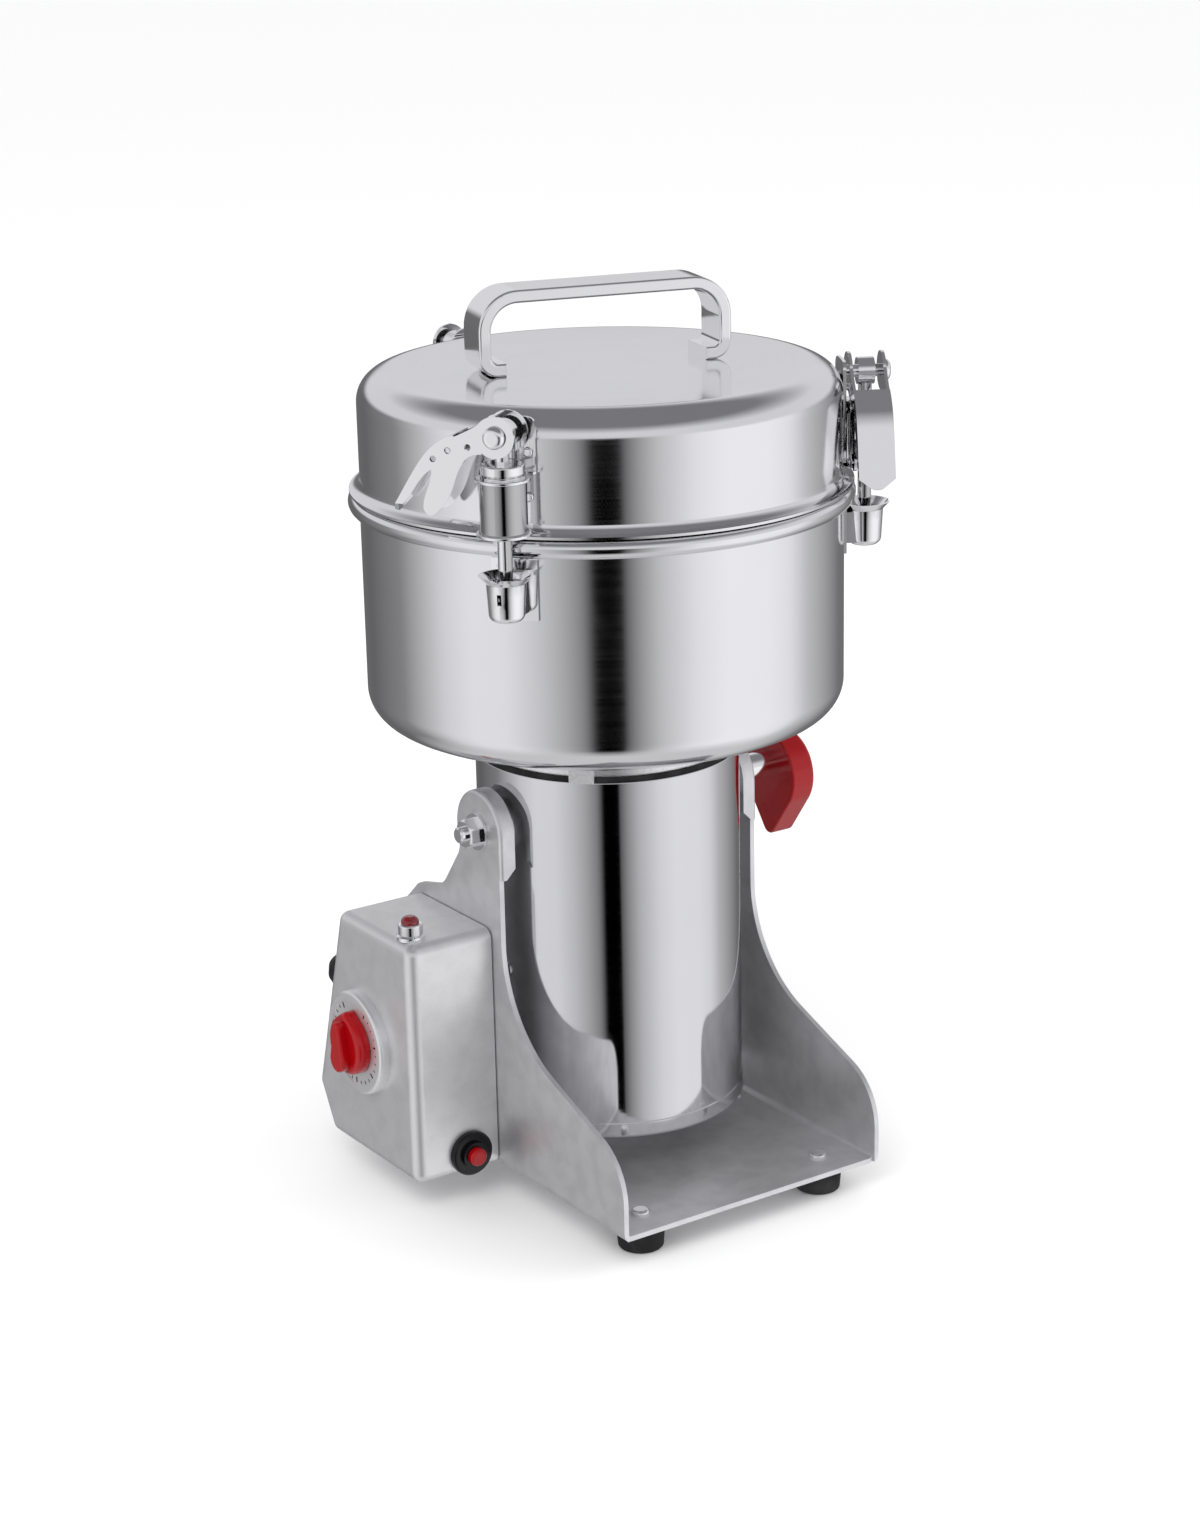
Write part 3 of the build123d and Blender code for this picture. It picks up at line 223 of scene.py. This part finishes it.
def make_smudges():
    """Sparse cloudy marks of handling and dust."""
    tree, t, given, out = group("handling_marks", [("Spread", 26.0)], ["Marks", "Specks"])
    place = t.add("ShaderNodeTexCoord").outputs["Object"]
    node = t.add("ShaderNodeTexNoise")
    t.link(place, node.inputs["Vector"])
    t.link(given["Spread"], node.inputs["Scale"])
    node.inputs["Detail"].default_value = 6.0
    node.inputs["Distortion"].default_value = 0.6
    t.link(t.range(node.outputs["Fac"], 0.48, 0.72, 0.0, 1.0), out["Marks"])
    t.link(t.range(t.noise(place, 700.0, 1.0), 0.70, 0.78, 0.0, 1.0), out["Specks"])
    return tree


TURNED = make_turned_lines()
GRAIN = make_grain()
WEAR_AND_PAINTED_LIGHT = make_wear_and_painted_light()
MARKS = make_smudges()


def new_material(name, **principled):
    """A material with a Principled shader; keyword values go on its own sockets."""
    material = bpy.data.materials.new(name)
    material.use_nodes = True
    t = Tree(material.node_tree)
    shader = t.nodes["Principled BSDF"]
    for key, value in principled.items():
        shader.inputs[key.replace("_", " ")].default_value = value
    return material, t, shader


def place_group(t, tree, **values):
    node = t.add("ShaderNodeGroup", node_tree=tree)
    for key, value in values.items():
        node.inputs[key].default_value = value
    return node.outputs


def bump(t, shader, height, distance, strength=1.0):
    node = t.add("ShaderNodeBump")
    node.inputs["Distance"].default_value = distance
    node.inputs["Strength"].default_value = strength
    t.link(height, node.inputs["Height"])
    t.link(node.outputs["Normal"], shader.inputs["Normal"])


def spun_steel(name, tint, rough, pitch=900.0, depth=0.000004):
    """Stainless polished on a lathe: near mirror, with faint rings and a soft cloud."""
    material, t, shader = new_material(name, Metallic=1.0)
    lines = place_group(t, TURNED, Pitch=pitch)
    marks = place_group(t, MARKS, Spread=18.0)
    dull = t.math("ADD", t.range(lines["Lines"], 0.3, 0.7, rough * 0.85, rough * 1.2),
                  t.math("MULTIPLY", marks["Marks"], rough * 0.25))
    t.link(dull, shader.inputs["Roughness"])
    cloud = t.range(lines["Cloud"], 0.3, 0.7, 0.0, 1.0)
    t.link(t.mix(cloud, [c * 0.97 for c in tint], tint), shader.inputs["Base Color"])
    bump(t, shader, lines["Lines"], depth)
    return material


def bright_metal(name, tint, rough):
    """Plated or tumbled steel of the fittings, with painted shade darkening the base colour in the nooks."""
    material, t, shader = new_material(name, Metallic=1.0)
    grain = place_group(t, GRAIN, Size=900.0)
    wear_and_light_masks = place_group(t, WEAR_AND_PAINTED_LIGHT, Reach=0.05)
    # Painted shade: base colour darkened to 0.55 of the tint in the nooks.
    base = t.mix(wear_and_light_masks["PaintedNookShade"], tint, [c * 0.55 for c in tint])
    t.link(base, shader.inputs["Base Color"])
    t.link(t.range(grain["Cloud"], 0.3, 0.7, rough * 0.7, rough * 1.5), shader.inputs["Roughness"])
    bump(t, shader, grain["Cloud"], 0.00004, 0.35)
    return material


def satin_paint(name, tint, rough=0.42):
    """Silver stove paint: metal flake under a smooth satin skin, with a painted highlight along outside
    edges.
    """
    material, t, shader = new_material(name, Metallic=0.86, Coat_Weight=0.12, Coat_Roughness=0.22)
    grain = place_group(t, GRAIN, Size=1800.0)
    wear_and_light_masks = place_group(t, WEAR_AND_PAINTED_LIGHT, Reach=0.06)
    marks = place_group(t, MARKS, Spread=9.0)
    flake = t.mix(t.range(grain["Grain"], 0.35, 0.65, 0.0, 1.0), [c * 0.97 for c in tint],
                  [min(1.0, c * 1.03) for c in tint])
    # Painted edge highlight: outside edges lightened toward pale grey.
    lit = t.mix(t.math("MULTIPLY", wear_and_light_masks["Wear"], 0.45), flake, (0.90, 0.90, 0.91))
    aged = t.mix(t.math("MULTIPLY", marks["Marks"], 0.012), lit, [c * 0.8 for c in tint])
    t.link(aged, shader.inputs["Base Color"])
    t.link(t.range(grain["Cloud"], 0.2, 0.8, rough * 0.96, rough * 1.04), shader.inputs["Roughness"])
    skin = t.noise(t.add("ShaderNodeTexCoord").outputs["Object"], 520.0, 2.0)
    bump(t, shader, skin, 0.000012, 0.4)
    return material


def moulded(name, tint, rough, coat, peel=0.00002):
    """Moulded plastic: glossy skin, faint flow lines, paler where edges are rubbed."""
    material, t, shader = new_material(name, Coat_Weight=coat, Coat_Roughness=0.05)
    shader.inputs["Specular IOR Level"].default_value = 0.3
    grain = place_group(t, GRAIN, Size=500.0)
    wear_and_light_masks = place_group(t, WEAR_AND_PAINTED_LIGHT, Reach=0.08)
    shade = t.mix(t.range(grain["Cloud"], 0.3, 0.7, 0.0, 1.0), [c * 0.86 for c in tint], tint)
    worn = t.mix(t.math("MULTIPLY", wear_and_light_masks["Wear"], 0.2), shade, [min(1.0, c * 1.3 + 0.004) for c in tint])
    t.link(worn, shader.inputs["Base Color"])
    t.link(t.range(grain["Cloud"], 0.3, 0.7, rough * 0.8, rough * 1.25), shader.inputs["Roughness"])
    bump(t, shader, grain["Grain"], peel, 0.5)
    return material


def soft_rubber(name, tint, rough=0.78):
    """Matt rubber with a fine tooth and a little dust."""
    material, t, shader = new_material(name)
    grain = place_group(t, GRAIN, Size=1500.0)
    marks = place_group(t, MARKS, Spread=60.0)
    dusty = t.mix(t.math("MULTIPLY", marks["Marks"], 0.25), tint, [min(1.0, c + 0.10) for c in tint])
    t.link(dusty, shader.inputs["Base Color"])
    t.link(t.range(grain["Cloud"], 0.3, 0.7, rough * 0.9, min(1.0, rough * 1.1)), shader.inputs["Roughness"])
    bump(t, shader, grain["Grain"], 0.00006, 0.8)
    return material


def cast_alloy(name, tint, rough=0.42):
    """Sand-blasted cast aluminium."""
    material, t, shader = new_material(name, Metallic=0.9)
    grain = place_group(t, GRAIN, Size=700.0)
    t.link(t.mix(t.range(grain["Grain"], 0.3, 0.7, 0.0, 1.0), [c * 0.85 for c in tint], tint),
           shader.inputs["Base Color"])
    t.link(t.range(grain["Cloud"], 0.3, 0.7, rough * 0.85, rough * 1.2), shader.inputs["Roughness"])
    bump(t, shader, grain["Grain"], 0.00005, 0.7)
    return material


def lamp_glass(name, tint):
    """Dark red lens with a faceted sparkle inside."""
    material, t, shader = new_material(name, Roughness=0.06, Coat_Weight=0.8, IOR=1.5)
    cells = t.add("ShaderNodeTexVoronoi")
    t.link(t.add("ShaderNodeTexCoord").outputs["Object"], cells.inputs["Vector"])
    cells.inputs["Scale"].default_value = 900.0
    t.link(t.mix(cells.outputs["Distance"], tint, [c * 2.4 for c in tint]), shader.inputs["Base Color"])
    bump(t, shader, cells.outputs["Distance"], 0.0001, 0.4)
    return material


MATERIALS = {
    "frame_paint": satin_paint("silver_paint", (0.69, 0.69, 0.705)),
    "box_paint": satin_paint("box_paint", (0.76, 0.76, 0.77)),
    "stainless": spun_steel("polished_stainless", (0.86, 0.86, 0.875), 0.115),
    "motor_steel": spun_steel("motor_stainless", (0.74, 0.74, 0.755), 0.07, 700.0),
    "bright_steel": bright_metal("bright_plate", (0.92, 0.92, 0.93), 0.085),
    "cast_alloy": cast_alloy("cast_alloy", (0.90, 0.90, 0.91), 0.34),
    "tool_steel": spun_steel("ground_steel", (0.55, 0.55, 0.56), 0.26, 500.0, 0.00002),
    "rubber_black": soft_rubber("foot_rubber", (0.006, 0.006, 0.007)),
    "silicone": soft_rubber("gasket_silicone", (0.75, 0.75, 0.72), 0.5),
    "plastic_red": moulded("red_plastic", (0.36, 0.0005, 0.003), 0.20, 0.30),
    "plastic_black": moulded("black_plastic", (0.004, 0.004, 0.005), 0.28, 0.1),
    "lens_red": lamp_glass("lamp_lens", (0.085, 0.001, 0.003)),
    "copper": cast_alloy("enamelled_copper", (0.55, 0.22, 0.10), 0.3),
    "carbon": soft_rubber("carbon_block", (0.03, 0.03, 0.03), 0.6),
    "dial_print": satin_paint("dial_silver", (0.84, 0.84, 0.85)),
}
SLOT_OF = {s["node"]: s["material_slot"] for s in frame["record"]["subparts"]}


# ------------------------------------------------------------------ mesh helpers

def finish_piece(piece, body, slot, *nodes, sharp=35.0, weighted=True):
    """Shading, material, body and the CAD nodes that the piece stands for."""
    mesh = piece.data
    mesh.shade_smooth()
    mesh.set_sharp_from_angle(angle=math.radians(sharp))
    if not mesh.materials:
        mesh.materials.append(MATERIALS[slot])
    if weighted:
        modifier = piece.modifiers.new("normals", "WEIGHTED_NORMAL")
        modifier.keep_sharp = True
    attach(piece, body)
    if nodes:
        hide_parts(*nodes)
    return piece


def mesh_object(name, verts, faces):
    mesh = bpy.data.meshes.new(name)
    mesh.from_pydata(verts, [], faces)
    mesh.validate()
    piece = bpy.data.objects.new(name, mesh)
    bpy.context.scene.collection.objects.link(piece)
    return piece


def rounded(corners, steps=10):
    """Points of a closed outline whose corners (x, y, radius) are rounded off by arcs."""
    points = []
    count = len(corners)
    for i, (x, y, radius) in enumerate(corners):
        here = Vector((x, y))
        if radius <= 0:
            points.append((x, y))
            continue
        before = (Vector(corners[i - 1][:2]) - here).normalized()
        after = (Vector(corners[(i + 1) % count][:2]) - here).normalized()
        half = math.acos(max(-1.0, min(1.0, before.dot(after)))) / 2
        centre = here + (before + after).normalized() * (radius / math.sin(half))
        first = here + before * (radius / math.tan(half)) - centre
        last = here + after * (radius / math.tan(half)) - centre
        turn = first.angle_signed(last)
        for k in range(steps + 1):
            a = -turn * k / steps
            spot = Matrix.Rotation(a, 2) @ first + centre
            points.append((spot.x, spot.y))
    return points


def arc(cx, cy, radius, start, end, steps=14):
    """Points on an arc, angles in degrees."""
    angles = [math.radians(start + (end - start) * k / steps) for k in range(steps + 1)]
    return [(cx + radius * math.cos(a), cy + radius * math.sin(a)) for a in angles]


def turned(name, profile, segments=192):
    """A closed outline of (radius, height) turned about the motor's centre line."""
    verts = []
    faces = []
    count = len(profile)
    for i in range(segments):
        a = 2 * math.pi * i / segments
        verts += [(r * math.cos(a), r * math.sin(a), z) for r, z in profile]
    for i in range(segments):
        j = (i + 1) % segments
        for k in range(count):
            m = (k + 1) % count
            faces.append((i * count + k, j * count + k, j * count + m, i * count + m))
    piece = mesh_object(name, verts, faces)
    fix_normals(piece.data)
    return piece


def fix_normals(mesh):
    work = bmesh.new()
    work.from_mesh(mesh)
    bmesh.ops.recalc_face_normals(work, faces=work.faces)
    work.to_mesh(mesh)
    work.free()


# ------------------------------------------------------------------ bowl, lid and motor

def bowl():
    bead = (BOWL_R + BEAD_OUT, RIM_TOP - BEAD_R)
    inner = BOWL_R - BOWL_WALL
    floor = BOWL_Z + BOWL_WALL
    under = math.degrees(math.acos(-BEAD_OUT / BEAD_R))
    over = math.degrees(math.acos((inner - bead[0]) / BEAD_R))
    outline = rounded([(SHAFT_HOLE_R, floor, 0), (SHAFT_HOLE_R, BOWL_Z, 0), (BOWL_R, BOWL_Z, BOWL_ROUND),
                       (BOWL_R, bead[1] - 6 * MM, 0)], 16)
    outline += arc(*bead, BEAD_R, -under, over, 28)
    inside = [(inner, bead[1], 0), (inner, floor, BOWL_ROUND - BOWL_WALL), (SHAFT_HOLE_R, floor, 0)]
    outline += rounded(inside, 16)[:-1]
    piece = turned("bowl_shell", outline, 256)
    return finish_piece(piece, "motor_unit", "stainless", "grinding_bowl")


def lid():
    flare_z = LIP_Z + LID_WALL + FLARE_R
    centre = (LID_R + FLARE_R, flare_z)
    under = LID_TOP - LID_WALL
    inner = LID_R - LID_WALL
    outline = [(CENTRE_R, LID_TOP)]
    outline += rounded([(CENTRE_R, LID_TOP, 0), (LID_R, LID_TOP, LID_ROUND), (LID_R, flare_z, 0)], 18)[1:-1]
    outline += arc(*centre, FLARE_R, 180, 270, 12)
    outline += arc(*centre, FLARE_R + LID_WALL, 270, 180, 12)
    inside = [(inner, flare_z, 0), (inner, under, LID_ROUND - LID_WALL), (CENTRE_R, under, 0)]
    outline += rounded(inside, 18)[1:]
    piece = turned("lid_dome", outline, 256)
    return finish_piece(piece, "lid", "stainless", "lid_shell")


def motor():
    bore = MOTOR_R - MOTOR_WALL
    outline = rounded([(bore, MOTOR_Z, 0), (MOTOR_R, MOTOR_Z, 0), (MOTOR_R, MOTOR_TOP, MOTOR_WALL / 2),
                       (bore, MOTOR_TOP, 0)], 5)
    piece = turned("motor_sleeve", outline, 256)
    return finish_piece(piece, "motor_unit", "motor_steel", "motor_housing")


def dial_marks():
    """Graduations printed round the timer dial's dish, every fourth one longer."""
    face = low("timer_dial").x + DISH_T
    centre = (low("timer_dial") + high("timer_dial")) / 2
    verts = []
    faces = []
    for k in range(MARKS_ROUND):
        a = math.radians(MARKS_START + MARKS_STEP * k)
        out = Vector((0, math.cos(a), math.sin(a)))
        side = Vector((0, -math.sin(a), math.cos(a)))
        inner, half = MARK_SIZES[k % 4 == 0]
        start = len(verts)
        for x in (face + MARK_SUNK, face - MARK_RAISED):
            for r, w in ((inner, -half), (MARK_OUT, -half), (MARK_OUT, half), (inner, half)):
                spot = out * r + side * w
                verts.append((x, centre.y + spot.y, centre.z + spot.z))
        faces.append((start, start + 1, start + 2, start + 3))
        faces.append((start + 7, start + 6, start + 5, start + 4))
        for i in range(4):
            j = (i + 1) % 4
            faces.append((start + i, start + 4 + i, start + 4 + j, start + j))
    piece = mesh_object("dial_marks", verts, faces)
    fix_normals(piece.data)
    return finish_piece(piece, "stand", "plastic_black", weighted=False)


bowl()
lid()
motor()
dial_marks()


# ------------------------------------------------------------------ carried-over nodes

def coat_nodes():
    """Every CAD node gets the material of its slot."""
    for name, node in NODES.items():
        material = MATERIALS[SLOT_OF[name]]
        if not node.material_slots:
            node.data.materials.append(material)
        for material_slot in node.material_slots:
            material_slot.material = material


coat_nodes()


# ------------------------------------------------------------------ floor, light and camera

FLOOR_REACH = 30.0
CAMERA_SIDE = -123.915
CAMERA_LEAN = (-33.915, 17.803, -1.268)
CAMERA_AIM_Z = 0.2025
CAMERA_SHIFT = 0.003714
CAMERA_DISTANCE = 1.5316
CAMERA_LENS = 73.76


def floor():
    size = FLOOR_REACH
    corners = [(-size, -size, 0), (size, -size, 0), (size, size, 0), (-size, size, 0)]
    mesh = bpy.data.meshes.new("floor")
    mesh.from_pydata(corners, [], [(0, 1, 2, 3)])
    piece = bpy.data.objects.new("floor", mesh)
    bpy.context.scene.collection.objects.link(piece)
    material, t, shader = new_material("pale_floor", Base_Color=(0.95, 0.95, 0.95, 1.0), Roughness=0.9)
    mesh.materials.append(material)
    piece.visible_glossy = False


# Brightness of the studio walls by direction, in degrees anticlockwise from the camera's side:
# a narrow dark gap between two broad white screens that fall off towards the back.
SCREENS = [
    (-180, 0.42), (-146, 0.40), (-112, 0.53), (-92, 0.76), (-82, 0.86), (-66, 0.93), (-48, 0.92), (-32, 0.82),
    (-20, 0.70), (-10.5, 0.55), (-6.0, 0.30), (-5.0, 0.0), (8.6, 0.0), (9.6, 0.38), (16, 0.60), (26, 0.78),
    (44, 0.93), (60, 0.98), (84, 0.975), (98, 0.93), (112, 0.77), (134, 0.60), (150, 0.45), (180, 0.42),
]
SOFT_LIGHT = (1.05, 1.05, 1.055)
HIGH_BAND = (0.70, 0.70, 0.72)
OVERHEAD = (0.20, 0.20, 0.21)
UNDERFOOT = (0.62, 0.62, 0.63)


def screen_light():
    """World: pale all round for the eye and for dull surfaces, the screens for polished ones."""
    world = bpy.data.worlds.new("studio")
    bpy.context.scene.world = world
    world.use_nodes = True
    t = Tree(world.node_tree)
    back = t.nodes["Background"]
    way = t.add("ShaderNodeTexCoord").outputs["Generated"]
    parts = t.add("ShaderNodeSeparateXYZ")
    t.link(way, parts.inputs[0])
    spin = math.radians(-CAMERA_SIDE)
    turned_way = t.add("ShaderNodeVectorRotate", rotation_type="Z_AXIS")
    t.link(way, turned_way.inputs["Vector"])
    turned_way.inputs["Angle"].default_value = spin
    flat = t.add("ShaderNodeSeparateXYZ")
    t.link(turned_way.outputs[0], flat.inputs[0])
    angle = t.math("ARCTAN2", flat.outputs[1], flat.outputs[0])
    share = t.math("ADD", t.math("DIVIDE", angle, 2 * math.pi), 0.5)
    ramp = t.add("ShaderNodeValToRGB")
    t.link(share, ramp.inputs["Fac"])
    stops = ramp.color_ramp.elements
    while len(stops) < len(SCREENS):
        stops.new(0.5)
    for stop, (degrees, shade) in zip(stops, SCREENS):
        stop.position = degrees / 360 + 0.5
        lit = shade ** 2.2
        stop.color = (lit, lit, lit * 1.02, 1)
    raised = t.range(parts.outputs[2], 0.07, 0.16, 0.0, 1.0)
    band = t.mix(raised, ramp.outputs["Color"], HIGH_BAND)
    overhead = t.range(parts.outputs[2], 0.44, 0.74, 0.0, 1.0)
    above = t.mix(overhead, band, OVERHEAD)
    below = t.range(parts.outputs[2], -0.85, -0.60, 1.0, 0.0)
    seen = t.mix(below, above, UNDERFOOT)
    path = t.add("ShaderNodeLightPath")
    t.link(t.mix(path.outputs["Is Glossy Ray"], SOFT_LIGHT, seen), back.inputs["Color"])
    back.inputs["Strength"].default_value = 1.0


def area_light(name, spot, aim, size, power, colour=(1, 1, 1)):
    light = bpy.data.lights.new(name, "AREA")
    light.shape = "RECTANGLE"
    light.size, light.size_y = size
    light.energy = power
    light.color = colour
    lamp = bpy.data.objects.new(name, light)
    bpy.context.scene.collection.objects.link(lamp)
    lamp.location = spot
    lamp.rotation_euler = (Vector(aim) - Vector(spot)).to_track_quat("-Z", "Y").to_euler()
    lamp.visible_glossy = False
    lamp.visible_camera = False
    return lamp


def camera():
    azimuth, elevation, roll = (math.radians(a) for a in CAMERA_LEAN)
    side = Vector((math.cos(azimuth), math.sin(azimuth), 0))
    back = Vector((math.sin(azimuth) * math.cos(elevation), -math.cos(azimuth) * math.cos(elevation),
                   math.sin(elevation)))
    up = back.cross(side)
    right = side * math.cos(roll) + up * math.sin(roll)
    top = up * math.cos(roll) - side * math.sin(roll)
    aim = Vector((0, 0, CAMERA_AIM_Z)) - side * CAMERA_SHIFT
    data = bpy.data.cameras.new("camera")
    data.sensor_fit = "VERTICAL"
    data.sensor_height = 36.0
    data.lens = CAMERA_LENS
    data.clip_end = 60.0
    eye = bpy.data.objects.new("camera", data)
    bpy.context.scene.collection.objects.link(eye)
    turn = Matrix((right, top, back)).transposed().to_4x4()
    eye.matrix_world = Matrix.Translation(aim + back * CAMERA_DISTANCE) @ turn
    bpy.context.scene.camera = eye


floor()
screen_light()
area_light("key", (-1.6, -1.2, 2.2), (0, 0, 0.2), (1.6, 1.6), 22)
area_light("fill", (1.7, -1.0, 1.5), (0, 0, 0.2), (1.4, 1.4), 10)
camera()
bpy.context.scene.view_settings.view_transform = "Standard"
